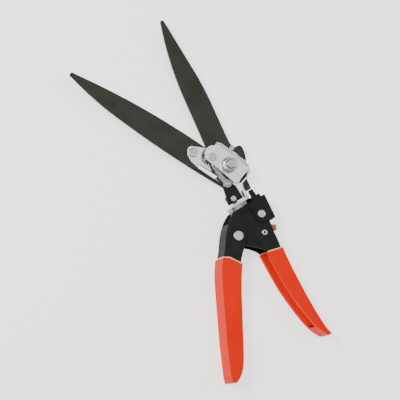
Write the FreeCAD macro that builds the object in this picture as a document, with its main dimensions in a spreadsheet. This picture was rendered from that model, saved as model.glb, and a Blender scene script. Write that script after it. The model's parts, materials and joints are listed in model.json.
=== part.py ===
import FreeCAD, Part
import Sketcher

import math
import os

from FreeCAD import Placement, Rotation, Vector

# Grass shears with a swivelling head: a squeeze on the lever handle pushes a rod through the
# hollow swivel spindle, and a link turns the upper blade about its bolt.
#
# Frame: the origin is on the handle pivot, on the surface the tool lies on. +Y runs forward along
# the swivel axis, +X points to the fixed handle's side and +Z is up. Outlines are plan views in
# millimetres. The middle plane of the tool is at the height mid_plane.

doc = FreeCAD.newDocument("grass_shears")
X_AXIS = Vector(1, 0, 0)
Y_AXIS = Vector(0, 1, 0)
Z_AXIS = Vector(0, 0, 1)

# ---------------------------------------------------------------- driving dimensions

SIZES = {
    "mid_plane": 11.3,
    "sheet_steel": 1.5,
    "body_half": 8.2,
    "handle_half": 10.0,
    "grip_coat": 1.3,
    "swivel_x": 17.5,
    "bolt_x": 26.9,
    "bolt_y": 61.0,
    "bolt_radius": 4.0,
    "bolt_end": 18.0,
    "blade_steel": 2.0,
    "fixed_blade_base": -2.2,
    "moving_blade_base": 0.1,
    "cheek_steel": 2.0,
    "carrier_steel": 1.5,
    "carrier_wall": 6.4,
    "tongue_base": 3.9,
    "tongue_steel": 2.0,
    "link_base": 6.2,
    "link_steel": 2.5,
    "clevis_base": 9.1,
    "clevis_steel": 1.8,
    "crank_x": 17.0,
    "crank_y": 75.2,
    "crank_radius": 2.5,
    "crank_eye": 3.0,
    "yoke_pin_y": 46.7,
    "yoke_pin_radius": 2.0,
    "rod_radius": 2.53,
    "spindle_radius": 4.5,
    "spindle_bore": 2.6,
    "spindle_foot": 11.9,
    "seat_bore": 4.58,
    "disc_radius": 10.0,
    "disc_base": 21.1,
    "disc_thick": 3.9,
    "foot_base": 25.0,
    "foot_thick": 2.0,
    "strap_steel": 1.8,
    "collar_radius": 6.2,
    "collar_thick": 2.5,
    "spring_radius": 4.3,
    "spring_wire": 0.45,
    "pivot_radius": 3.0,
    "pivot_head": 4.8,
    "running_gap": 0.06,
    "drive_x": 12.27,
    "drive_y": -2.3,
    "drive_radius": 2.0,
    "catch_x": 10.35,
    "catch_y": -11.2,
    "catch_radius": 1.5,
    "lock_pin_x": 31.1,
    "lock_pin_y": 6.6,
    "lock_half": 10.0,
    "lock_steel": 1.4,
    "latch_pin_x": 25.1,
    "latch_pin_y": -9.9,
    "latch_half": 1.5,
}

sheet = doc.addObject("Spreadsheet::Sheet", "Sizes")
for row, (alias, value) in enumerate(SIZES.items(), start=1):
    sheet.set(f"A{row}", alias)
    sheet.set(f"B{row}", str(value))
    sheet.setAlias(f"B{row}", alias)
doc.recompute()


def size(alias):
    return float(sheet.get(alias))


MID = size("mid_plane")
SWIVEL_X = size("swivel_x")
BOLT = (size("bolt_x"), size("bolt_y"))
CRANK = (size("crank_x"), size("crank_y"))
YOKE_PIN = (SWIVEL_X, size("yoke_pin_y"))
DRIVE_PIN = (size("drive_x"), size("drive_y"))
CATCH_PIN = (size("catch_x"), size("catch_y"))
LOCK_PIN = (size("lock_pin_x"), size("lock_pin_y"))
LATCH_PIN = (size("latch_pin_x"), size("latch_pin_y"))
PIVOT = (0.0, 0.0)
ARM_PIN = (-11.0, -7.0)
CARRIER_RIVET = (5.1, 87.6)
BLADE_RIVET = (42.4, 73.9)
YOKE_SCREW = (15.7, 32.0)

# ---------------------------------------------------------------- helpers

finished = []


def finish(item, label):
    """Names a finished sub-part; the label is also its file's name."""
    item.Label = label
    finished.append(item)
    return item


def plane_of(body, role):
    return next(f for f in body.Origin.OriginFeatures if f.Role == role)


def draw_loop(sketch, outline):
    """Draws a closed outline. It starts with a point; each later item is a point, reached by a
    line, or a pair (via, point), reached by an arc through via."""
    last = Vector(*outline[0], 0)
    for item in list(outline[1:]) + [outline[0]]:
        if isinstance(item[0], tuple):
            via = Vector(*item[0], 0)
            end = Vector(*item[1], 0)
            sketch.addGeometry(Part.Arc(last, via, end), False)
        else:
            end = Vector(*item, 0)
            if end.distanceToPoint(last) > 1e-6:
                sketch.addGeometry(Part.LineSegment(last, end), False)
        last = end


def add_pad(body, outline, base, thick, holes=()):
    """Pads an outline upward: base is the height above the middle plane and thick the height of
    the pad, both as spreadsheet expressions; holes are (centre, radius expression)."""
    sketch = body.newObject("Sketcher::SketchObject", "Outline")
    sketch.AttachmentSupport = (plane_of(body, "XY_Plane"), [""])
    sketch.MapMode = "FlatFace"
    sketch.setExpression("AttachmentOffset.Base.z", f"Sizes.mid_plane + {base}")
    draw_loop(sketch, outline)
    for centre, radius in holes:
        ring = sketch.addGeometry(Part.Circle(Vector(*centre, 0), Z_AXIS, 1.0), False)
        sketch.addConstraint(Sketcher.Constraint("DistanceX", -1, 1, ring, 3, centre[0]))
        sketch.addConstraint(Sketcher.Constraint("DistanceY", -1, 1, ring, 3, centre[1]))
        limit = sketch.addConstraint(Sketcher.Constraint("Radius", ring, 1.0))
        sketch.setExpression(f"Constraints[{limit}]", radius)
    pad = body.newObject("PartDesign::Pad", "Pad")
    pad.Profile = sketch
    pad.setExpression("Length", thick)
    body.Tip = pad
    doc.recompute()
    return pad


def new_body(name):
    return doc.addObject("PartDesign::Body", name)


def rod_along_z(radius, base, height, centre):
    """An upright cylinder: base is its foot's height above the middle plane."""
    item = doc.addObject("Part::Cylinder", "Upright")
    item.setExpression("Radius", radius)
    item.setExpression("Height", height)
    item.Placement = Placement(Vector(*centre, 0), Rotation())
    item.setExpression("Placement.Base.z", f"Sizes.mid_plane + {base}")
    return item


def rod_along_y(radius, base, height):
    """A cylinder on the swivel axis: base is its lower end along the axis."""
    item = doc.addObject("Part::Cylinder", "Axial")
    item.setExpression("Radius", radius)
    item.setExpression("Height", height)
    item.Placement = Placement(Vector(SWIVEL_X, 0, MID), Rotation(X_AXIS, -90))
    item.setExpression("Placement.Base.y", base)
    return item


def box(low, high):
    """A box between two corners, with heights counted from the middle plane."""
    item = doc.addObject("Part::Box", "Block")
    item.Length = high[0] - low[0]
    item.Width = high[1] - low[1]
    item.Height = high[2] - low[2]
    item.Placement = Placement(Vector(low[0], low[1], 0), Rotation())
    item.setExpression("Placement.Base.z", f"Sizes.mid_plane + {low[2]}")
    return item


def fuse(*items):
    joined = doc.addObject("Part::MultiFuse", "Join")
    joined.Shapes = list(items)
    joined.Refine = True
    return joined


def cut(base, *tools):
    """Cuts the tools from the base, and stops if they take nothing away."""
    for tool in tools:
        result = doc.addObject("Part::Cut", "Cut")
        result.Base = base
        result.Tool = tool
        doc.recompute()
        if base.Shape.Volume - result.Shape.Volume < 1e-3:
            raise ValueError(f"{tool.Name} cuts nothing from {base.Name}")
        base = result
    return base


def common(first, second):
    result = doc.addObject("Part::Common", "Common")
    result.Base = first
    result.Tool = second
    return result


def feature(shape):
    """A free-form solid that sketches and primitives don't make."""
    item = doc.addObject("Part::Feature", "Form")
    item.Shape = shape
    return item


def hex_prism(across_flats, base, height, centre):
    prism = doc.addObject("Part::Prism", "Hexagon")
    prism.Polygon = 6
    prism.Circumradius = across_flats / math.sqrt(3)
    prism.Height = height
    prism.Placement = Placement(Vector(*centre, 0), Rotation(Z_AXIS, 12))
    prism.setExpression("Placement.Base.z", f"Sizes.mid_plane + {base}")
    return prism


def shift(points, distance):
    """Moves an open line of points sideways, to the right of its direction."""
    moved = []
    for i, (x, y) in enumerate(points):
        before = points[max(i - 1, 0)]
        after = points[min(i + 1, len(points) - 1)]
        run = Vector(after[0] - before[0], after[1] - before[1], 0).normalize()
        moved.append((x + run.y * distance, y - run.x * distance))
    return moved


def spline(points):
    curve = Part.BSplineCurve()
    curve.interpolate([Vector(x, y, 0) for x, y in points])
    return curve.toShape()


def strip_prism(first, second, half):
    """A prism, centred on the middle plane, between two smooth lines that run the same way."""
    ends = [
        Part.makeLine(Vector(*first[-1], 0), Vector(*second[-1], 0)),
        Part.makeLine(Vector(*second[0], 0), Vector(*first[0], 0)),
    ]
    wire = Part.Wire(Part.__sortEdges__([spline(first), spline(second)] + ends))
    prism = Part.Face(wire).extrude(Vector(0, 0, 2 * half))
    prism.translate(Vector(0, 0, MID - half))
    return prism


def polygon_prism(points, low, high):
    """An upright prism over a polygon, between two heights from the middle plane."""
    wire = Part.makePolygon([Vector(x, y, 0) for x, y in list(points) + [points[0]]])
    prism = Part.Face(wire).extrude(Vector(0, 0, high - low))
    prism.translate(Vector(0, 0, MID + low))
    return prism


def tapered_bar(first, first_radius, second, second_radius):
    """The outline of a bar with two round ends of different size."""
    run = Vector(second[0] - first[0], second[1] - first[1], 0)
    heading = math.atan2(run.y, run.x)
    spread = math.acos((first_radius - second_radius) / run.Length)

    def on(centre, radius, angle):
        return (centre[0] + radius * math.cos(angle), centre[1] + radius * math.sin(angle))

    return [
        on(first, first_radius, heading + spread),
        (on(first, first_radius, heading + math.pi), on(first, first_radius, heading - spread)),
        on(second, second_radius, heading - spread),
        (on(second, second_radius, heading), on(second, second_radius, heading + spread)),
    ]


# ---------------------------------------------------------------- fixed handle and its grip

HANDLE_HALF = size("handle_half")
BODY_HALF = size("body_half")
STEEL = size("sheet_steel")
COAT = size("grip_coat")
LONG_WAY = 300.0
NECK_TOP = -15.0
NECK_FOOT = -23.0

FIXED_BACK = [
    (36.0, 20.8), (36.2, 8.0), (35.7, -3.0), (34.0, -14.6), (31.5, -29.0), (29.4, -48.3),
    (28.3, -71.0), (27.9, -93.6), (28.4, -109.0), (29.2, -117.0),
]
FIXED_FREE = [
    (17.5, -27.5), (17.2, -36.0), (17.0, -45.0), (16.9, -61.0), (18.0, -77.0), (20.4, -95.0),
    (23.8, -110.0), (27.6, -118.5),
]
FIXED_BODY = [
    (36.0, 20.8), (7.6, 20.8), (4.2, 18.2), (0.0, 13.6), (-4.5, 7.2), (-8.4, 1.5), (-8.0, -3.0), (-4.5, -7.2),
    (1.8, -11.0), (9.6, -17.2), (15.0, -22.6), (17.5, -27.5),
]


def channel_width(body_half, handle_half, lag):
    """The band that a handle's side walls keep to: narrow at the body, wider at the grip."""
    top = NECK_TOP - lag
    foot = NECK_FOOT - lag
    half_band = [
        (LONG_WAY, body_half), (top, body_half), (foot, handle_half), (-LONG_WAY, handle_half),
    ]
    band = half_band + [(y, -z) for y, z in reversed(half_band)]
    wire = Part.makePolygon([Vector(-LONG_WAY, y, MID + z) for y, z in band + [band[0]]])
    return Part.Face(wire).extrude(Vector(2 * LONG_WAY, 0, 0))


def plan_face(lines):
    wire = Part.Wire(Part.__sortEdges__(lines))
    prism = Part.Face(wire).extrude(Vector(0, 0, 4 * HANDLE_HALF))
    prism.translate(Vector(0, 0, MID - 2 * HANDLE_HALF))
    return prism


def segment_chain(points):
    return [
        Part.makeLine(Vector(*a, 0), Vector(*b, 0)) for a, b in zip(points[:-1], points[1:])
    ]


def fixed_channel():
    """The pressed channel: a back along the outer side, two walls, open towards the lever."""
    tip = Part.Arc(
        Vector(*FIXED_FREE[-1], 0), Vector(28.9, -118.6, 0), Vector(*FIXED_BACK[-1], 0)
    ).toShape()
    outside = plan_face(
        [spline(FIXED_BACK), spline(FIXED_FREE), tip] + segment_chain(FIXED_BODY)
    )
    outside = outside.common(channel_width(BODY_HALF, HANDLE_HALF, 0.0))
    back = shift(FIXED_BACK[:-1], STEEL)
    back[0] = (back[0][0], back[0][1] + 5.0)
    room = [back[-1], (24.0, -109.0), (-30.0, -60.0), (-30.0, 40.0), back[0]]
    inside = plan_face([spline(back)] + segment_chain(room))
    inside = inside.common(
        channel_width(BODY_HALF - STEEL, HANDLE_HALF - STEEL, STEEL * 0.4)
    )
    return feature(outside.cut(inside))


def fixed_grip_shape(steel):
    """A dipped coat over the channel, inside and out, below a slightly slanted rim."""
    coated = strip_prism(
        shift(FIXED_BACK, -COAT)[3:] + [(32.3, -122.3)],
        shift(FIXED_FREE, COAT) + [(28.9, -122.9)],
        HANDLE_HALF + COAT,
    )
    rim = polygon_prism(
        [(0.0, -25.6), (16.0, -25.9), (20.0, -26.6), (45.0, -32.5), (45.0, -140.0), (0.0, -140.0)],
        -20.0, 20.0,
    )
    lining = STEEL + COAT
    hollow = strip_prism(
        shift(FIXED_BACK[2:-1], lining), shift(FIXED_FREE[:-1], 8.0), HANDLE_HALF - lining
    )
    return feature(coated.common(rim).cut(steel.Shape).cut(hollow))


fixed_form = fixed_channel()
doc.recompute()
fixed_grip = fixed_grip_shape(fixed_form)

pivot_hole = rod_along_z("Sizes.pivot_radius", "-15", "30", PIVOT)
lock_hole = rod_along_z("1.8", "-15", "30", LOCK_PIN)
latch_hole = rod_along_z("1.6", "-15", "30", LATCH_PIN)
latch_window = box((28.0, -19.5, -2.1), (45.0, -3.2, 2.1))
finish(cut(fixed_form, pivot_hole, lock_hole, latch_hole, latch_window), "fixed_handle")
finish(fixed_grip, "fixed_grip")

# ---------------------------------------------------------------- lever handle and its grip

LEVER_BACK = [
    (6.0, 19.6), (-3.0, 13.4), (-10.5, 5.6), (-16.2, -2.0), (-24.0, -11.6), (-30.4, -20.6),
    (-39.0, -35.9), (-49.5, -56.4), (-60.0, -77.2), (-69.8, -98.2), (-73.6, -107.0),
]
LEVER_FREE = [
    (8.0, 17.5), (9.4, 8.0), (8.6, -1.0), (3.5, -9.0), (-4.0, -15.5), (-10.9, -22.6),
    (-20.8, -36.4), (-32.7, -56.0), (-44.3, -76.2), (-56.0, -96.4), (-66.0, -108.6),
]


def lever_channel():
    """The lever's channel: its back is on the outer side and it is open to the fixed handle."""
    tip = Part.Arc(
        Vector(*LEVER_FREE[-1], 0), Vector(-71.8, -111.2, 0), Vector(*LEVER_BACK[-1], 0)
    ).toShape()
    nose = Part.makeLine(Vector(*LEVER_BACK[0], 0), Vector(*LEVER_FREE[0], 0))
    outside = plan_face([spline(LEVER_BACK), spline(LEVER_FREE), tip, nose])
    slab = Part.makeBox(LONG_WAY, LONG_WAY, 2 * HANDLE_HALF, Vector(-150, -150, MID - HANDLE_HALF))
    back = shift(LEVER_BACK[:-1], -STEEL)
    room = [back[-1], (-64.0, -100.0), (60.0, -60.0), (60.0, 40.0), (-6.0, 40.0), back[1]]
    inside = plan_face([spline(back[1:])] + segment_chain(room))
    clear = HANDLE_HALF - STEEL
    gap = Part.makeBox(LONG_WAY, LONG_WAY, 2 * clear, Vector(-150, -150, MID - clear))
    return feature(outside.common(slab).cut(inside.common(gap)))


def lever_grip_shape(steel):
    coated = strip_prism(
        shift(LEVER_BACK, COAT)[3:] + [(-76.3, -111.5)],
        shift(LEVER_FREE, -COAT)[4:] + [(-73.2, -113.4)],
        HANDLE_HALF + COAT,
    )
    rim = polygon_prism(
        [(-40.0, -2.5), (-27.0, -7.2), (-18.0, -12.6), (-10.7, -22.9), (-4.0, -30.0),
         (-4.0, -140.0), (-120.0, -140.0), (-120.0, -2.5)],
        -20.0, 20.0,
    )
    lining = STEEL + COAT
    hollow = strip_prism(
        shift(LEVER_BACK[2:-1], -lining), shift(LEVER_FREE[2:-1], -8.0), HANDLE_HALF - lining
    )
    return feature(coated.common(rim).cut(steel.Shape).cut(hollow))


lever_form = lever_channel()
doc.recompute()
lever_grip = lever_grip_shape(lever_form)
lever_bore = rod_along_z("Sizes.pivot_radius + Sizes.running_gap", "-15", "30", PIVOT)
finish(cut(lever_form, lever_bore), "lever_handle")
finish(lever_grip, "lever_grip")

# The drive arm is a pair of plates inside the body: one cross pin pushes the rod's collar,
# another is what the latch catches, and the third holds the arm to the lever's walls.
SPACER_RADIUS = 4.2
ARM_INNER = 2.2
ARM_STEEL = 1.8


def arm_plate(base):
    body = new_body("ArmPlate")
    add_pad(body, tapered_bar(PIVOT, 5.8, DRIVE_PIN, 1.4), base, f"{ARM_STEEL}")
    add_pad(body, tapered_bar(PIVOT, 5.8, CATCH_PIN, 2.6), base, f"{ARM_STEEL}")
    add_pad(body, tapered_bar(PIVOT, 5.8, ARM_PIN, 3.6), base, f"{ARM_STEEL}")
    return body


arm_plates = [arm_plate(f"{ARM_INNER}"), arm_plate(f"(-{ARM_INNER + ARM_STEEL})")]
arm_pins = [
    rod_along_z("Sizes.drive_radius", f"(-{ARM_INNER + ARM_STEEL})", "8.0", DRIVE_PIN),
    rod_along_z("Sizes.catch_radius", f"(-{ARM_INNER + ARM_STEEL})", "8.0", CATCH_PIN),
    rod_along_z("2.2", "(-8.5)", "17.0", ARM_PIN),
]
arm_bore = rod_along_z(f"{SPACER_RADIUS} + Sizes.running_gap", "-15", "30", PIVOT)
finish(cut(fuse(*arm_plates, *arm_pins), arm_bore), "drive_arm")

# ---------------------------------------------------------------- pins of the handles

HEAD_THICK = 1.3


def through_rivet(shaft, head, half, centre):
    """A rivet through both walls of the tool, with a flat head at each end."""
    return fuse(
        rod_along_z(shaft, f"(-{half})", f"2 * {half}", centre),
        rod_along_z(head, half, f"{HEAD_THICK}", centre),
        rod_along_z(head, f"(-{half} - {HEAD_THICK})", f"{HEAD_THICK}", centre),
    )


finish(through_rivet("Sizes.pivot_radius", "Sizes.pivot_head", "Sizes.handle_half", PIVOT),
       "pivot_rivet")
finish(
    cut(
        rod_along_z(f"{SPACER_RADIUS}", "(-6.7)", "13.4", PIVOT),
        rod_along_z("Sizes.pivot_radius", "-15", "30", PIVOT),
    ),
    "pivot_spacer",
)
finish(through_rivet("1.8", "3.9", "Sizes.lock_half", LOCK_PIN), "lock_rivet")
finish(
    cut(
        through_rivet("1.6", "2.9", "Sizes.body_half", LATCH_PIN),
        rod_along_z("0.9", "-15", "30", LATCH_PIN),
    ),
    "latch_rivet",
)

# ---------------------------------------------------------------- latch that keeps the tool shut

LATCH_GAP = 0.3
LATCH_BOSS = 5.6
LATCH_TAB = [
    (24.0, -5.2), (33.0, -5.6), (36.2, -5.9), (41.6, -8.9), ((42.3, -9.7), (42.0, -10.7)),
    (40.7, -13.1), ((40.1, -13.8), (39.2, -14.0)), (33.0, -13.9), (24.0, -13.4),
]
LATCH_FINGER = [
    (25.0, -7.6), (18.0, -11.9), ((14.6, -13.6), (12.2, -13.2)), ((11.6, -14.4), (12.6, -15.2)),
    ((16.0, -15.9), (19.0, -14.4)), (24.0, -14.4),
]
latch = new_body("Latch")
LATCH_BASE = "(-Sizes.latch_half)"
LATCH_THICK = "2 * Sizes.latch_half"
add_pad(latch, tapered_bar(LATCH_PIN, LATCH_BOSS, (LATCH_PIN[0] + 0.4, LATCH_PIN[1]), LATCH_BOSS),
        LATCH_BASE, LATCH_THICK)
add_pad(latch, LATCH_TAB, LATCH_BASE, LATCH_THICK)
add_pad(latch, LATCH_FINGER, LATCH_BASE, LATCH_THICK)
finish(
    cut(latch, rod_along_z("1.6 + Sizes.running_gap", "-15", "30", LATCH_PIN)),
    "latch",
)
SLEEVE_INSIDE = 1.6
SLEEVE_OUTSIDE = 3.4


def latch_sleeve(low, high):
    """A spacer tube that keeps the latch in the middle of the body."""
    return cut(
        rod_along_z(f"{SLEEVE_OUTSIDE}", f"({low})", f"{high - low}", LATCH_PIN),
        rod_along_z(f"{SLEEVE_INSIDE}", "-15", "30", LATCH_PIN),
    )


WALL_INSIDE = BODY_HALF - STEEL
LATCH_HALF = size("latch_half")
finish(
    fuse(
        latch_sleeve(LATCH_HALF + LATCH_GAP, WALL_INSIDE),
        latch_sleeve(-WALL_INSIDE, -LATCH_HALF - LATCH_GAP),
    ),
    "latch_spacers",
)

# ---------------------------------------------------------------- swivel bearing and spindle

SEAT_TOP = 20.6
SEAT_FOOT = 13.5
seat = box((9.0, SEAT_FOOT, -WALL_INSIDE), (26.0, SEAT_TOP, WALL_INSIDE))
finish(cut(seat, rod_along_y("Sizes.seat_bore", "0", "40")), "swivel_bearing")

spindle = rod_along_y(
    "Sizes.spindle_radius", "Sizes.spindle_foot",
    "Sizes.foot_base + Sizes.foot_thick - Sizes.spindle_foot",
)
finish(cut(spindle, rod_along_y("Sizes.spindle_bore", "0", "40")), "swivel_spindle")

NOTCH_HALF = 2.3
NOTCH_DEPTH = 2.0
disc = rod_along_y("Sizes.disc_radius", "Sizes.disc_base", "Sizes.disc_thick")
disc_bore = rod_along_y("Sizes.spindle_radius", "0", "40")


def disc_notch(turn):
    """One of the three index notches in the disc's rim."""
    notch = doc.addObject("Part::Box", "Notch")
    notch.Length = 6.0
    notch.Width = 12.0
    notch.Height = 2 * NOTCH_HALF
    spin = Rotation(Y_AXIS, turn)
    reach = spin.multVec(Vector(size("disc_radius") - NOTCH_DEPTH, 0, -NOTCH_HALF))
    notch.Placement = Placement(Vector(SWIVEL_X, 16.0, MID) + reach, spin)
    return notch


finish(cut(disc, disc_bore, *[disc_notch(turn) for turn in (-90, 0, 90)]), "index_disc")

RETAINER_THICK = 1.2
retainer = rod_along_y("6.1", "Sizes.spindle_foot", f"{RETAINER_THICK}")
finish(cut(retainer, rod_along_y("Sizes.spindle_radius", "0", "40")), "spindle_retainer")

# ---------------------------------------------------------------- push rod and its spring

collar = rod_along_y("Sizes.collar_radius", "0", "Sizes.collar_thick")
shank = rod_along_y("Sizes.rod_radius", "0", "28.2")
finish(fuse(collar, shank), "push_rod")


def return_spring():
    """An open coil between the rod's collar and the spindle's retainer."""
    wire = size("spring_wire")
    low = size("collar_thick") + 0.1 + wire
    high = size("spindle_foot") - 0.1 - wire
    turns = 3.0
    helix = Part.makeHelix((high - low) / turns, high - low, size("spring_radius"))
    section = Part.Wire(
        Part.makeCircle(wire, Vector(size("spring_radius"), 0, 0), Vector(0, 1, 0))
    )
    coil = Part.Wire(helix).makePipeShell([section], True, True)
    return feature(coil), low


spring, spring_low = return_spring()
spring.Placement = Placement(Vector(SWIVEL_X, spring_low, MID), Rotation(X_AXIS, -90))
finish(spring, "return_spring")

# The yoke is screwed on the rod above the swivel's foot, and its tongue reaches over the blades'
# heels to the link.
YOKE_LOW = 28.2
YOKE_HIGH = 36.0
TONGUE_HALF = 4.4
YOKE_HALF = 4.6
YOKE_TOP = size("tongue_base") + size("tongue_steel")
yoke_arm = new_body("YokeTongue")
add_pad(
    yoke_arm,
    [
        (8.8, YOKE_LOW), (24.9, YOKE_LOW), (24.7, 41.0),
        (SWIVEL_X + TONGUE_HALF, YOKE_PIN[1]),
        ((SWIVEL_X, YOKE_PIN[1] + TONGUE_HALF), (SWIVEL_X - TONGUE_HALF, YOKE_PIN[1])),
    ],
    "Sizes.tongue_base", "Sizes.tongue_steel",
    [(YOKE_PIN, "Sizes.yoke_pin_radius")],
)
yoke_block = new_body("YokeBlock")
add_pad(
    yoke_block,
    [(12.4, YOKE_LOW), (24.9, YOKE_LOW), (24.8, YOKE_HIGH), (12.4, YOKE_HIGH)],
    f"(-{YOKE_HALF})", f"{YOKE_HALF + YOKE_TOP}",
)
SCREW_HOLE = 1.5
finish(
    cut(fuse(yoke_block, yoke_arm), rod_along_z(f"{SCREW_HOLE}", "3.0", "5.0", YOKE_SCREW)),
    "drive_yoke",
)
screw = fuse(
    rod_along_z(f"{SCREW_HOLE}", "3.0", "2.9", YOKE_SCREW),
    rod_along_z("2.7", "5.9", "1.4", YOKE_SCREW),
)
finish(cut(screw, hex_prism(2.4, "6.4", 2.0, YOKE_SCREW)), "yoke_screw")
finish(
    rod_along_z("Sizes.yoke_pin_radius", "Sizes.tongue_base",
                "Sizes.link_base + Sizes.link_steel - Sizes.tongue_base", YOKE_PIN),
    "yoke_pin",
)

# ---------------------------------------------------------------- link to the upper blade

LINK_BOW = 2.4
LINK_HALF = 2.2


def link_outline():
    """A bar between the two eyes, bowed to the left so that it passes the blade bolt."""
    middle_y = (YOKE_PIN[1] + CRANK[1]) / 2
    middle_x = (YOKE_PIN[0] + CRANK[0]) / 2 - LINK_BOW
    foot = YOKE_PIN[1] + 1.5
    head = CRANK[1] - 1.5
    return [
        (YOKE_PIN[0] - LINK_HALF, foot),
        ((middle_x - LINK_HALF, middle_y), (CRANK[0] - LINK_HALF, head)),
        (CRANK[0] + LINK_HALF, head),
        ((middle_x + LINK_HALF, middle_y), (YOKE_PIN[0] + LINK_HALF, foot)),
    ]


link = new_body("Link")
add_pad(link, link_outline(), "Sizes.link_base", "Sizes.link_steel")
lower_eye = rod_along_z("3.9", "Sizes.link_base", "Sizes.link_steel", YOKE_PIN)
upper_eye = rod_along_z("4.6", "Sizes.link_base", "Sizes.link_steel", CRANK)
finish(
    cut(
        fuse(link, lower_eye, upper_eye),
        rod_along_z("Sizes.yoke_pin_radius + Sizes.running_gap", "0", "20", YOKE_PIN),
        rod_along_z("Sizes.crank_eye", "0", "20", CRANK),
    ),
    "push_link",
)

# ---------------------------------------------------------------- head frame

STRAP_LINE = [(27.0, 25.0), (27.3, 33.5), (30.4, 41.6), (38.4, 43.9), (44.4, 48.9)]
CHEEK = [
    (30.8, 40.8), (38.8, 43.0), (45.0, 48.4), ((48.0, 62.0), (46.2, 74.5)),
    ((42.6, 78.3), (38.6, 76.0)), (30.0, 75.5), ((20.0, 73.0), (15.8, 63.0)),
    ((17.2, 52.0), (24.0, 46.5)),
]
STRAP_HIGH = 6.9
STRAP_LOW = -8.0
strap_steel = size("strap_steel")
strap_right = shift(STRAP_LINE, strap_steel)
strap_outline = STRAP_LINE + list(reversed(strap_right))
head = new_body("HeadFrame")
add_pad(head, strap_outline, f"({STRAP_LOW})", f"{STRAP_HIGH - STRAP_LOW}")
add_pad(head, CHEEK, "(Sizes.fixed_blade_base - Sizes.cheek_steel)", "Sizes.cheek_steel")
foot_plate = box((8.4, size("foot_base"), -8.0), (28.6, 27.0, 7.6))
tang_slot = box((32.6, 38.0, size("fixed_blade_base")), (41.4, 52.0, 0.1))
finish(
    cut(
        fuse(head, foot_plate),
        tang_slot,
        rod_along_y("Sizes.spindle_radius", "20", "10"),
        rod_along_z("Sizes.bolt_radius", "-15", "30", BOLT),
        rod_along_z("1.6", "-15", "30", BLADE_RIVET),
    ),
    "head_frame",
)

# ---------------------------------------------------------------- blades

FIXED_BLADE = [
    (43.4, 209.3), ((32.1, 172.0), (25.3, 132.0)), (18.2, 70.0), ((17.5, 57.0), (24.5, 48.0)),
    (33.6, 45.5), (33.6, 31.6), (39.4, 31.6), (40.6, 43.2), (42.8, 50.0),
    ((50.2, 59.0), (52.6, 68.4)), ((51.0, 72.4), (47.0, 72.6)), (44.2, 75.0), (43.6, 79.0),
    (46.4, 107.8), ((48.6, 130.0), (49.2, 150.0)),
    (47.7, 208.8), ((45.8, 211.4), (43.4, 209.3)),
]
MOVING_BLADE = [
    (-57.0, 204.4), ((-24.6, 160.0), (10.5, 102.0)), (21.5, 81.6), (30.0, 77.2),
    ((43.4, 61.0), (26.9, 44.5)), (14.0, 45.6), ((-15.0, 96.0), (-39.2, 144.0)),
    ((-52.6, 176.0), (-60.6, 202.0)), ((-60.4, 205.6), (-57.0, 204.4)),
]
fixed_blade = new_body("FixedBlade")
add_pad(
    fixed_blade, FIXED_BLADE, "Sizes.fixed_blade_base",
    "Sizes.blade_steel", [(BOLT, "Sizes.bolt_radius"), (BLADE_RIVET, "1.6")],
)
finish(fixed_blade, "fixed_blade")
moving_blade = new_body("MovingBlade")
add_pad(
    moving_blade, MOVING_BLADE, "Sizes.moving_blade_base", "Sizes.blade_steel",
    [
        (BOLT, "Sizes.bolt_radius + Sizes.running_gap"), (CARRIER_RIVET, "1.7"),
        (CRANK, "Sizes.crank_radius"),
    ],
)
finish(moving_blade, "moving_blade")

# ---------------------------------------------------------------- blade carrier and clevis plate

CARRIER = [
    (12.5, 90.0), (18.0, 85.9), (24.0, 81.2), (31.0, 77.4), ((43.8, 61.0), (26.9, 44.1)),
    (17.2, 46.6), (13.0, 51.6), (1.4, 73.6), (-0.4, 79.0), ((-1.2, 85.5), (0.6, 91.2)),
    ((4.4, 94.2), (8.6, 92.6)),
]
FLANGE_TOP_END = (1.4, 74.2)
FLANGE_LOW_END = (11.0, 56.8)
FLANGE_STEEL = 1.2
FLANGE_LEAN = 12.0
CARRIER_TOP = "(Sizes.moving_blade_base + Sizes.blade_steel + Sizes.carrier_steel)"
carrier = new_body("Carrier")
add_pad(
    carrier, CARRIER, "(Sizes.moving_blade_base + Sizes.blade_steel)", "Sizes.carrier_steel",
    [
        (BOLT, "Sizes.bolt_radius + Sizes.running_gap"), (CARRIER_RIVET, "1.7"),
        (CRANK, "Sizes.crank_radius"),
    ],
)
flange = doc.addObject("Part::Box", "Flange")
flange_run = Vector(*FLANGE_TOP_END, 0) - Vector(*FLANGE_LOW_END, 0)
flange.Length = flange_run.Length
flange.Width = FLANGE_STEEL
flange.setExpression("Height", "Sizes.carrier_wall + 0.4")
flange_turn = Rotation(Z_AXIS, math.degrees(math.atan2(flange_run.y, flange_run.x)))
flange.Placement = Placement(
    Vector(*FLANGE_LOW_END, 0), flange_turn * Rotation(X_AXIS, FLANGE_LEAN)
)
flange.setExpression("Placement.Base.z", f"Sizes.mid_plane + {CARRIER_TOP} - 0.4")
finish(fuse(carrier, flange), "blade_carrier")

CLEVIS = [
    (12.0, 80.5), ((16.6, 85.0), (24.0, 83.8)), ((27.2, 82.4), (28.9, 79.6)), (40.4, 55.9),
    ((41.6, 50.8), (38.6, 47.3)), (29.5, 43.9), ((25.2, 42.9), (22.4, 45.8)), (11.2, 74.8),
    ((10.6, 77.8), (12.0, 80.5)),
]
RIM_INSIDE = [(26.6, 84.4), (29.6, 81.6), (41.6, 57.0), (42.7, 51.6), (40.9, 47.6)]
rim_outside = shift(RIM_INSIDE, -1.3)
rim_outline = RIM_INSIDE + list(reversed(rim_outside))
rim_foot = [(24.0, 83.2), (28.0, 78.6), (39.4, 55.4), (40.0, 51.0), (37.8, 47.6)]
RIM_GROOVE = 1.0
clevis = new_body("ClevisPlate")
clevis_holes = [
    (BOLT, "Sizes.bolt_radius + Sizes.running_gap"), (CRANK, "Sizes.crank_radius"),
]
add_pad(clevis, CLEVIS, "Sizes.clevis_base", "Sizes.clevis_steel", clevis_holes)
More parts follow.
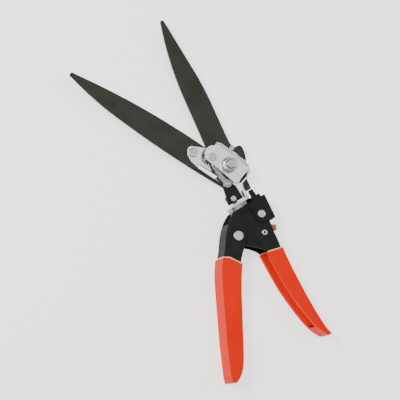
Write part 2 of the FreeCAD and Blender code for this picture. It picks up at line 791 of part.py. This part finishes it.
add_pad(clevis, rim_foot + list(reversed(rim_outside)), "Sizes.clevis_base", f"{RIM_GROOVE}")
add_pad(clevis, rim_outline, "Sizes.clevis_base", "Sizes.clevis_steel + 1.2")
finish(clevis, "clevis_plate")

# ---------------------------------------------------------------- fasteners of the head

CLEVIS_TOP = "(Sizes.clevis_base + Sizes.clevis_steel)"
WASHER = 1.2
NUT = 4.8
NUT_GAP = 0.1
BOLT_FLATS = 13.0
FAR_WASHER = 2.0
HEX_HEAD = 5.1

finish(
    cut(
        rod_along_z("4.95", CARRIER_TOP, f"Sizes.clevis_base - {CARRIER_TOP}", BOLT),
        rod_along_z("Sizes.bolt_radius + Sizes.running_gap", "-20", "50", BOLT),
    ),
    "bolt_sleeve",
)
finish(
    cut(
        rod_along_z("7.4", CLEVIS_TOP, f"{WASHER}", BOLT),
        rod_along_z("Sizes.bolt_radius + Sizes.running_gap", "-20", "50", BOLT),
        box((BOLT[0] - 9.0, BOLT[1] - 0.5, 10.0), (BOLT[0], BOLT[1] + 0.5, 13.0)),
    ),
    "spring_washer",
)
nut_low = f"({CLEVIS_TOP} + {WASHER} + {NUT_GAP})"
finish(
    cut(
        common(
            hex_prism(BOLT_FLATS, nut_low, NUT, BOLT),
            rod_along_z("7.1", nut_low, f"{NUT}", BOLT),
        ),
        rod_along_z("Sizes.bolt_radius", "-20", "50", BOLT),
    ),
    "bolt_nut",
)
CHEEK_LOW = "(Sizes.fixed_blade_base - Sizes.cheek_steel)"
finish(
    cut(
        rod_along_z("7.6", f"({CHEEK_LOW} - {FAR_WASHER})", f"{FAR_WASHER}", BOLT),
        rod_along_z("Sizes.bolt_radius", "-20", "50", BOLT),
    ),
    "far_washer",
)
bolt_low = f"({CHEEK_LOW} - {FAR_WASHER} - {HEX_HEAD})"
finish(
    fuse(
        hex_prism(BOLT_FLATS, bolt_low, HEX_HEAD, BOLT),
        rod_along_z("Sizes.bolt_radius", bolt_low, f"Sizes.bolt_end - {bolt_low}", BOLT),
    ),
    "blade_bolt",
)
finish(
    fuse(
        rod_along_z("Sizes.crank_radius", "Sizes.moving_blade_base",
                    f"{CLEVIS_TOP} - Sizes.moving_blade_base", CRANK),
        rod_along_z("3.9", CLEVIS_TOP, "0.9", CRANK),
    ),
    "crank_pin",
)
finish(
    fuse(
        rod_along_z("1.7", "Sizes.moving_blade_base",
                    f"{CARRIER_TOP} - Sizes.moving_blade_base", CARRIER_RIVET),
        rod_along_z("4.4", CARRIER_TOP, "1.5", CARRIER_RIVET),
    ),
    "carrier_rivet",
)
finish(
    fuse(
        rod_along_z("1.6", CHEEK_LOW, f"Sizes.fixed_blade_base + Sizes.blade_steel - {CHEEK_LOW}",
                    BLADE_RIVET),
        rod_along_z("2.6", "Sizes.fixed_blade_base + Sizes.blade_steel", "1.4", BLADE_RIVET),
    ),
    "blade_rivet",
)

# ---------------------------------------------------------------- swivel lock

LOCK_WALL = [
    (25.2, 19.6), (30.9, 21.4), (30.9, 30.2), ((31.3, 31.0), (32.0, 31.2)), (34.6, 31.0),
    ((35.6, 30.8), (35.8, 30.0)), (36.4, 21.8), (43.8, 20.9), (42.2, -0.6),
    ((41.6, -2.6), (39.8, -3.0)), (35.7, -3.1), (25.2, 0.8),
]
LOCK_BACK = [(43.8, 20.9), (42.2, -0.6), (40.8, -0.5), (42.4, 20.9)]
LOCK_NOSE = [(43.0, 24.2), (43.0, 20.9), (41.9, 16.0), (38.0, 21.5), (27.9, 21.5), (27.9, 24.2)]
lock = new_body("SwivelLock")
LOCK_HOLE = [(LOCK_PIN, "1.8 + Sizes.running_gap")]
lock_walls = []
for wall_base in ("(Sizes.lock_half - Sizes.lock_steel)", "(-Sizes.lock_half)"):
    wall = new_body("LockWall")
    add_pad(wall, LOCK_WALL, wall_base, "Sizes.lock_steel", LOCK_HOLE)
    lock_walls.append(wall)
add_pad(lock, LOCK_BACK, "(-Sizes.lock_half)", "2 * Sizes.lock_half")
add_pad(lock, LOCK_NOSE, "(-2.0)", "4.0")
finish(fuse(lock, *lock_walls), "swivel_lock")

# ---------------------------------------------------------------- checks and export

doc.recompute()
for item in doc.Objects:
    if "Invalid" in item.State or "Error" in item.State:
        raise RuntimeError(f"{item.Name} ({item.Label}) failed: {item.State}")
for item in finished:
    if item.Shape.isNull() or not item.Shape.isValid():
        raise RuntimeError(f"{item.Label} has no valid shape")
    print(f"{item.Label:18s} solids {len(item.Shape.Solids)}  volume {item.Shape.Volume:9.1f}")

os.makedirs("parts", exist_ok=True)
for item in finished:
    item.Shape.exportStep(f"parts/{item.Label}.step")
print(f"{len(finished)} sub-parts written")
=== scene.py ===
import json
import math

import bmesh
import bpy
from mathutils import Matrix, Vector

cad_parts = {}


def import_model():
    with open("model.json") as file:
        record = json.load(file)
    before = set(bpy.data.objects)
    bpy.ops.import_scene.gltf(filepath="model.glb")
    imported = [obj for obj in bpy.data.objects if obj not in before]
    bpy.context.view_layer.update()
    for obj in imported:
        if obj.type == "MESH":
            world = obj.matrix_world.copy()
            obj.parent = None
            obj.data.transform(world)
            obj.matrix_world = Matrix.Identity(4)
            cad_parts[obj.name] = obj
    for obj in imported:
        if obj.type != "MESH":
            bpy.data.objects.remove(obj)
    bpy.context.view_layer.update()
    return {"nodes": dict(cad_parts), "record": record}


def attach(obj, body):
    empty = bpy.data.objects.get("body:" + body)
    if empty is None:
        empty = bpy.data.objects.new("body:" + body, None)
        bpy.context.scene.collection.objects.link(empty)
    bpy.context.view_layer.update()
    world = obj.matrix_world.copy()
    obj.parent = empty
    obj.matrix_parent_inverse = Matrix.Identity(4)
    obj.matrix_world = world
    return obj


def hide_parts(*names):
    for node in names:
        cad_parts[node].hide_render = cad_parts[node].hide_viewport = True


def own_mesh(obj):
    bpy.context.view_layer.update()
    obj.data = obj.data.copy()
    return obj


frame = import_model()
nodes = frame["nodes"]

MID = 0.0113  # height of the tool's middle plane

# Directions and lengths are in metres, angles in degrees.
CAMERA_LEAN = 21.0
CAMERA_ROLL = 30.0
CAMERA_LENS = 117.4
CAMERA_DISTANCE = 1.2
CAMERA_AIM = (-0.0147, 0.0462, MID + 0.0105)
CAMERA_SHIFT = (0.0006, 0.0002)
FLOOR_HALF = 6.0
FLOOR_HEIGHT = -0.0005
FLOOR_GLOW = 1.3
SKY_STRENGTH = 1.35
MERGE_WITHIN = 1e-6
FLAT_ANGLE = 1.0
BEVEL_ANGLE = 28.0
BEVEL_SEGMENTS = 3
SMOOTH_ANGLE = 35.0
BLADE_SMOOTH_ANGLE = 20.0
EDGE_START_Y = 0.095  # the ground edges begin this far forward
# width of the painted highlight strip beside the grips' coat rim
RIM_HIGHLIGHT_WIDTH = 0.0011
GRIND = 0.0010


# ---------------------------------------------------------------- material tools


def add_node(tree, kind, place=(0, 0), **values):
    node = tree.nodes.new(kind)
    node.location = place
    for key, value in values.items():
        if key in node.inputs.keys():
            node.inputs[key].default_value = value
        else:
            setattr(node, key, value)
    return node


def noise(tree, scale, detail, roughness=0.55, stretch=(1, 1, 1)):
    """Returns a noise between 0 and 1 over the object's own coordinates."""
    coord = add_node(tree, "ShaderNodeTexCoord")
    mapping = add_node(tree, "ShaderNodeMapping")
    mapping.inputs["Scale"].default_value = stretch
    tree.links.new(coord.outputs["Object"], mapping.inputs["Vector"])
    field = add_node(tree, "ShaderNodeTexNoise", Scale=scale, Detail=detail, Roughness=roughness)
    tree.links.new(mapping.outputs["Vector"], field.inputs["Vector"])
    return field.outputs["Fac"]


def ramp(tree, source, low, high, first, second):
    node = add_node(tree, "ShaderNodeValToRGB")
    node.color_ramp.elements[0].position = low
    node.color_ramp.elements[0].color = (*first, 1)
    node.color_ramp.elements[1].position = high
    node.color_ramp.elements[1].color = (*second, 1)
    tree.links.new(source, node.inputs["Fac"])
    return node.outputs["Color"]


def remap(tree, source, low, high):
    node = add_node(tree, "ShaderNodeMapRange")
    node.inputs["To Min"].default_value = low
    node.inputs["To Max"].default_value = high
    tree.links.new(source, node.inputs["Value"])
    return node.outputs["Result"]


def bumps(tree, source, strength, distance, before=None):
    node = add_node(tree, "ShaderNodeBump", Strength=strength, Distance=distance)
    tree.links.new(source, node.inputs["Height"])
    if before is not None:
        tree.links.new(before, node.inputs["Normal"])
    return node.outputs["Normal"]


def near_edges(tree, amount, reach=0.0005):
    """White within reach of an edge or a crease, black elsewhere, broken up by noise."""
    geometry = add_node(tree, "ShaderNodeNewGeometry")
    rounded = add_node(tree, "ShaderNodeBevel", samples=4, Radius=reach)
    turned = add_node(tree, "ShaderNodeVectorMath", operation="DOT_PRODUCT")
    tree.links.new(rounded.outputs["Normal"], turned.inputs[0])
    tree.links.new(geometry.outputs["Normal"], turned.inputs[1])
    edge = add_node(tree, "ShaderNodeMapRange")
    edge.inputs["From Min"].default_value = 0.98
    edge.inputs["From Max"].default_value = 0.80
    edge.inputs["To Max"].default_value = amount
    tree.links.new(turned.outputs["Value"], edge.inputs["Value"])
    patch = remap(tree, noise(tree, 420.0, 4.0), 0.0, 1.6)
    product = add_node(tree, "ShaderNodeMath", operation="MULTIPLY", use_clamp=True)
    tree.links.new(edge.outputs["Result"], product.inputs[0])
    tree.links.new(patch, product.inputs[1])
    return product.outputs["Value"]


def blend_colour(tree, factor, first, second):
    mix = add_node(tree, "ShaderNodeMix", data_type="RGBA")
    tree.links.new(factor, mix.inputs["Factor"])
    for source, socket in ((first, mix.inputs[6]), (second, mix.inputs[7])):
        if isinstance(source, tuple):
            socket.default_value = (*source, 1)
        else:
            tree.links.new(source, socket)
    return mix.outputs[2]


def new_material(name, **values):
    material = bpy.data.materials.new(name)
    material.use_nodes = True
    shader = material.node_tree.nodes["Principled BSDF"]
    for key, value in values.items():
        shader.inputs[key].default_value = value
    return material, material.node_tree, shader


def painted_black():
    material, tree, shader = new_material("black_enamel", Metallic=0.0, IOR=1.09)
    colour = ramp(tree, noise(tree, 90.0, 5.0), 0.3, 0.75, (0.0130, 0.0155, 0.0130),
                  (0.0205, 0.0235, 0.0205))
    # The paler edges are partly worn paint and partly a painted highlight along the edges.
    worn = near_edges(tree, 0.35)
    tree.links.new(blend_colour(tree, worn, colour, (0.10, 0.10, 0.10)),
                   shader.inputs["Base Color"])
    tree.links.new(remap(tree, noise(tree, 160.0, 4.0), 0.34, 0.50), shader.inputs["Roughness"])
    tree.links.new(bumps(tree, noise(tree, 900.0, 3.0), 0.16, 0.0003), shader.inputs["Normal"])
    return material


def blade_coating():
    material, tree, shader = new_material("blade_coating", Metallic=0.0, IOR=1.15)
    colour = ramp(tree, noise(tree, 60.0, 6.0), 0.3, 0.75, (0.0290, 0.0305, 0.0240),
                  (0.0420, 0.0440, 0.0345))
    tree.links.new(colour, shader.inputs["Base Color"])
    tree.links.new(remap(tree, noise(tree, 240.0, 5.0), 0.40, 0.58), shader.inputs["Roughness"])
    grain = noise(tree, 1500.0, 2.0, stretch=(1.0, 0.25, 1.0))
    tree.links.new(bumps(tree, grain, 0.22, 0.0002), shader.inputs["Normal"])
    return material


def ground_edge():
    """The bare, ground bevel along a blade's cutting edge."""
    material, tree, shader = new_material("ground_edge", Metallic=1.0)
    lines = noise(tree, 900.0, 3.0, stretch=(1.0, 0.15, 1.0))
    tree.links.new(ramp(tree, lines, 0.3, 0.7, (0.26, 0.27, 0.26), (0.40, 0.41, 0.40)),
                   shader.inputs["Base Color"])
    tree.links.new(remap(tree, lines, 0.28, 0.42), shader.inputs["Roughness"])
    return material


def orange_vinyl():
    material, tree, shader = new_material("orange_vinyl", Metallic=0.0, IOR=1.07)
    colour = ramp(tree, noise(tree, 35.0, 4.0), 0.25, 0.8, (0.74, 0.010, 0.0),
                  (0.82, 0.018, 0.0))
    tree.links.new(colour, shader.inputs["Base Color"])
    tree.links.new(remap(tree, noise(tree, 120.0, 4.0), 0.26, 0.40), shader.inputs["Roughness"])
    skin = bumps(tree, noise(tree, 1100.0, 3.0), 0.10, 0.0003)
    tree.links.new(bumps(tree, noise(tree, 70.0, 2.0), 0.25, 0.0012, skin),
                   shader.inputs["Normal"])
    return material


def rim_highlight_vinyl():
    """A paler strip along the coat's rim: a painted highlight on the edge of the dipped coat."""
    material, tree, shader = new_material("rim_highlight_vinyl", Roughness=0.35)
    tree.links.new(ramp(tree, noise(tree, 150.0, 3.0), 0.3, 0.7, (0.90, 0.42, 0.26),
                        (0.93, 0.55, 0.38)), shader.inputs["Base Color"])
    return material


def chrome_plate():
    material, tree, shader = new_material("chrome_plate", Metallic=1.0)
    colour = ramp(tree, noise(tree, 45.0, 5.0), 0.3, 0.75, (0.80, 0.785, 0.79),
                  (0.95, 0.935, 0.935))
    # Painted shade: the colour is darkened near edges and creases to stand in for the dark
    # reflections and shade there.
    painted_edge_shade = near_edges(tree, 1.0, 0.0010)
    tree.links.new(blend_colour(tree, painted_edge_shade, colour, (0.10, 0.10, 0.10)),
                   shader.inputs["Base Color"])
    tree.links.new(remap(tree, noise(tree, 200.0, 6.0), 0.12, 0.26), shader.inputs["Roughness"])
    orange_peel = bumps(tree, noise(tree, 260.0, 2.0), 0.10, 0.0005)
    tree.links.new(bumps(tree, noise(tree, 1400.0, 3.0), 0.10, 0.0002, orange_peel),
                   shader.inputs["Normal"])
    return material


def zinc_steel(name, low, high, rough_low, rough_high):
    material, tree, shader = new_material(name, Metallic=1.0)
    colour = ramp(tree, noise(tree, 300.0, 6.0), 0.3, 0.75, low, high)
    # Painted shade: the colour is darkened near edges and creases to stand in for the dark
    # reflections and shade there.
    painted_edge_shade = near_edges(tree, 0.9, 0.0008)
    tree.links.new(blend_colour(tree, painted_edge_shade, colour, (0.07, 0.07, 0.07)),
                   shader.inputs["Base Color"])
    tree.links.new(remap(tree, noise(tree, 380.0, 6.0), rough_low, rough_high),
                   shader.inputs["Roughness"])
    tree.links.new(bumps(tree, noise(tree, 520.0, 5.0), 0.30, 0.0004), shader.inputs["Normal"])
    return material


def red_paint():
    material, tree, shader = new_material("red_paint", Metallic=0.0)
    shader.inputs["Coat Weight"].default_value = 0.5
    worn = near_edges(tree, 0.4)
    colour = ramp(tree, noise(tree, 150.0, 4.0), 0.3, 0.7, (0.55, 0.012, 0.010),
                  (0.66, 0.022, 0.016))
    tree.links.new(blend_colour(tree, worn, colour, (0.75, 0.25, 0.2)),
                   shader.inputs["Base Color"])
    tree.links.new(remap(tree, noise(tree, 300.0, 4.0), 0.25, 0.40), shader.inputs["Roughness"])
    return material


MATERIALS = {
    "body_paint": painted_black(),
    "grip_vinyl": orange_vinyl(),
    "blade_coating": blade_coating(),
    "bright_chrome": chrome_plate(),
    "zinc_steel": zinc_steel("zinc_steel", (0.36, 0.36, 0.36), (0.60, 0.60, 0.59), 0.24, 0.42),
    "plain_steel": zinc_steel("plain_steel", (0.24, 0.24, 0.24), (0.36, 0.36, 0.35), 0.3, 0.5),
    "spring_steel": zinc_steel("spring_steel", (0.16, 0.16, 0.17), (0.26, 0.26, 0.27), 0.3, 0.5),
    "red_paint": red_paint(),
}
GROUND = ground_edge()
RIM_HIGHLIGHT = rim_highlight_vinyl()

SLOT_OF = {s["node"]: s["material_slot"] for s in frame["record"]["subparts"]}
BODY_OF = {
    n: body for body, group in frame["record"]["behaviour"]["bodies"].items() for n in group
}


# ---------------------------------------------------------------- pieces


def smooth_by_angle(obj, angle=SMOOTH_ANGLE):
    mesh = obj.data
    for face in mesh.polygons:
        face.use_smooth = True
    mesh.set_sharp_from_angle(angle=math.radians(angle))


def clean_copy(name, width):
    """A copy of a CAD node with merged flat faces and small rounded edges."""
    source = nodes[name]
    obj = bpy.data.objects.new(name + "_look", source.data.copy())
    bpy.context.scene.collection.objects.link(obj)
    bm = bmesh.new()
    bm.from_mesh(obj.data)
    bmesh.ops.remove_doubles(bm, verts=bm.verts, dist=MERGE_WITHIN)
    bmesh.ops.dissolve_limit(
        bm, angle_limit=math.radians(FLAT_ANGLE), verts=bm.verts, edges=bm.edges, delimit=set()
    )
    bm.to_mesh(obj.data)
    bm.free()
    obj.data.materials.clear()
    obj.data.materials.append(MATERIALS[SLOT_OF[name]])
    if width:
        bevel = obj.modifiers.new("Edges", "BEVEL")
        bevel.width = width
        bevel.segments = BEVEL_SEGMENTS
        bevel.limit_method = "ANGLE"
        bevel.angle_limit = math.radians(BEVEL_ANGLE)
        bevel.use_clamp_overlap = True
    flat = obj.modifiers.new("FlatFacesStayFlat", "WEIGHTED_NORMAL")
    flat.keep_sharp = True
    smooth_by_angle(obj)
    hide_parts(name)
    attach(obj, BODY_OF[name])
    return obj


EDGES = {
    "fixed_handle": 0.0005, "lever_handle": 0.0005, "fixed_grip": 0.0007, "lever_grip": 0.0007,
    "swivel_lock": 0.0004, "head_frame": 0.0005, "blade_carrier": 0.0005, "clevis_plate": 0.0006,
    "push_link": 0.0003, "drive_yoke": 0.0004, "index_disc": 0.0003, "swivel_bearing": 0.0003,
    "pivot_rivet": 0.0006, "lock_rivet": 0.0006, "latch_rivet": 0.0006, "carrier_rivet": 0.0006,
    "blade_rivet": 0.0006, "crank_pin": 0.0004, "blade_bolt": 0.0008, "bolt_nut": 0.0010,
    "far_washer": 0.0004, "spring_washer": 0.0003, "latch": 0.0004, "yoke_screw": 0.0003,
    "fixed_blade": 0.0, "moving_blade": 0.0, "return_spring": 0.0, "drive_arm": 0.0003,
    "push_rod": 0.0003, "pivot_spacer": 0.0002, "latch_spacers": 0.0002, "yoke_pin": 0.0003,
    "swivel_spindle": 0.0002, "spindle_retainer": 0.0002, "bolt_sleeve": 0.0002,
}
looks = {name: clean_copy(name, width) for name, width in EDGES.items()}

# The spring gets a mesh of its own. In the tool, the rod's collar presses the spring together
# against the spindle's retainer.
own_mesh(looks["return_spring"])


def second_material(obj, material, chosen):
    """Gives a second material to the faces that the test chooses."""
    if material.name not in obj.data.materials:
        obj.data.materials.append(material)
    for face in obj.data.polygons:
        if chosen(face.center, face.normal):
            face.material_index = 1


def paint_rim_highlight(obj, line, width):
    """Cuts the coat parallel to its rim and paints a highlight on the strip beside the rim."""
    planes = []
    for (x0, y0), (x1, y1) in zip(line[:-1], line[1:]):
        outward = Vector((y0 - y1, x1 - x0, 0)).normalized()
        planes.append((Vector((x0, y0, 0)) - outward * width, outward))
    bm = bmesh.new()
    bm.from_mesh(obj.data)
    for point, outward in planes:
        bmesh.ops.bisect_plane(
            bm, geom=bm.verts[:] + bm.edges[:] + bm.faces[:], plane_co=point, plane_no=outward
        )
    bm.to_mesh(obj.data)
    bm.free()
    second_material(
        obj, RIM_HIGHLIGHT, lambda c, n: any((c - point).dot(outward) > 0 for point, outward in planes)
    )
    smooth_by_angle(obj)


# Painted highlight along the rim where the orange coat ends.
paint_rim_highlight(looks["fixed_grip"], [(0.016, -0.0259), (0.020, -0.0266), (0.045, -0.0325)], RIM_HIGHLIGHT_WIDTH)
paint_rim_highlight(looks["lever_grip"], [(-0.027, -0.0072), (-0.018, -0.0126), (-0.0107, -0.0229)], RIM_HIGHLIGHT_WIDTH)


def grind(obj, side, upward, width):
    """Grinds a bevel along a blade's cutting edge, on its outer face, and bares the steel."""
    bm = bmesh.new()
    bm.from_mesh(obj.data)
    bm.normal_update()

    def cutting(edge):
        flats = [f for f in edge.link_faces if f.normal.z * upward > 0.9]
        walls = [f for f in edge.link_faces if f.normal.x * side > 0.5 and abs(f.normal.z) < 0.3]
        middle = (edge.verts[0].co + edge.verts[1].co) / 2
        return flats and walls and middle.y > EDGE_START_Y

    edges = [e for e in bm.edges if cutting(e)]
    made = bmesh.ops.bevel(
        bm, geom=edges, offset=width, offset_type="OFFSET", segments=1, affect="EDGES",
        clamp_overlap=True,
    )
    obj.data.materials.append(GROUND)
    for face in made["faces"]:
        face.material_index = 1
    bm.to_mesh(obj.data)
    bm.free()
    smooth_by_angle(obj, BLADE_SMOOTH_ANGLE)


grind(looks["moving_blade"], 1.0, 1.0, GRIND)
grind(looks["fixed_blade"], -1.0, -1.0, GRIND)
second_material(
    looks["fixed_blade"], GROUND,
    lambda c, n: n.x < -0.5 and abs(n.z) < 0.3 and c.y > EDGE_START_Y,
)


# ---------------------------------------------------------------- camera, light and floor


def camera():
    lean = math.radians(CAMERA_LEAN)
    roll = math.radians(CAMERA_ROLL)
    away = Vector((-math.sin(lean), 0, math.cos(lean)))
    right_flat = Vector((math.cos(lean), 0, math.sin(lean)))
    forward = Vector((0, 1, 0))
    right = right_flat * math.cos(roll) - forward * math.sin(roll)
    up = right_flat * math.sin(roll) + forward * math.cos(roll)
    data = bpy.data.cameras.new("Camera")
    data.lens = CAMERA_LENS
    data.sensor_width = 36.0
    obj = bpy.data.objects.new("Camera", data)
    bpy.context.scene.collection.objects.link(obj)
    aim = Vector(CAMERA_AIM) - right * CAMERA_SHIFT[0] - up * CAMERA_SHIFT[1]
    turn = Matrix((right, up, away)).transposed().to_4x4()
    obj.matrix_world = Matrix.Translation(aim + away * CAMERA_DISTANCE) @ turn
    data.clip_start = 0.05
    data.clip_end = 20.0
    bpy.context.scene.camera = obj


def area_light(name, place, aim, size, power):
    data = bpy.data.lights.new(name, "AREA")
    data.shape = "RECTANGLE"
    data.size, data.size_y = size
    data.energy = power
    obj = bpy.data.objects.new(name, data)
    bpy.context.scene.collection.objects.link(obj)
    obj.location = place
    obj.rotation_mode = "QUATERNION"
    obj.rotation_quaternion = (Vector(aim) - Vector(place)).to_track_quat("-Z", "Y")
    return obj


def floor():
    mesh = bpy.data.meshes.new("Floor")
    half = FLOOR_HALF
    mesh.from_pydata(
        [(-half, -half, 0), (half, -half, 0), (half, half, 0), (-half, half, 0)], [],
        [(0, 1, 2, 3)],
    )
    obj = bpy.data.objects.new("Floor", mesh)
    obj.location.z = FLOOR_HEIGHT
    bpy.context.scene.collection.objects.link(obj)
    material, tree, shader = new_material("paper", Roughness=0.9)
    shader.inputs["Emission Color"].default_value = (1.0, 1.0, 1.0, 1.0)
    shader.inputs["Emission Strength"].default_value = FLOOR_GLOW
    tree.links.new(ramp(tree, noise(tree, 3.0, 2.0), 0.3, 0.7, (0.88, 0.88, 0.88),
                        (0.90, 0.90, 0.90)), shader.inputs["Base Color"])
    obj.data.materials.append(material)
    return obj


def world():
    scene_world = bpy.data.worlds.new("Studio")
    bpy.context.scene.world = scene_world
    scene_world.use_nodes = True
    background = scene_world.node_tree.nodes["Background"]
    background.inputs["Strength"].default_value = SKY_STRENGTH
    tree = scene_world.node_tree
    coord = add_node(tree, "ShaderNodeTexCoord")
    height = add_node(tree, "ShaderNodeSeparateXYZ")
    tree.links.new(coord.outputs["Generated"], height.inputs["Vector"])
    sky = ramp(tree, height.outputs["Z"], 0.66, 0.93, (0.025, 0.025, 0.03), (1.0, 1.0, 1.0))
    tree.links.new(sky, background.inputs["Color"])


camera()
world()
floor()
area_light("Key", (-0.55, 0.55, 0.9), (0, 0.05, 0), (0.35, 0.35), 11.0)
area_light("Fill", (0.8, -0.3, 0.7), (0, 0.05, 0), (0.45, 0.45), 4.0)
area_light("Top", (0.1, 0.2, 1.3), (0, 0.05, 0), (0.5, 0.35), 1.2)
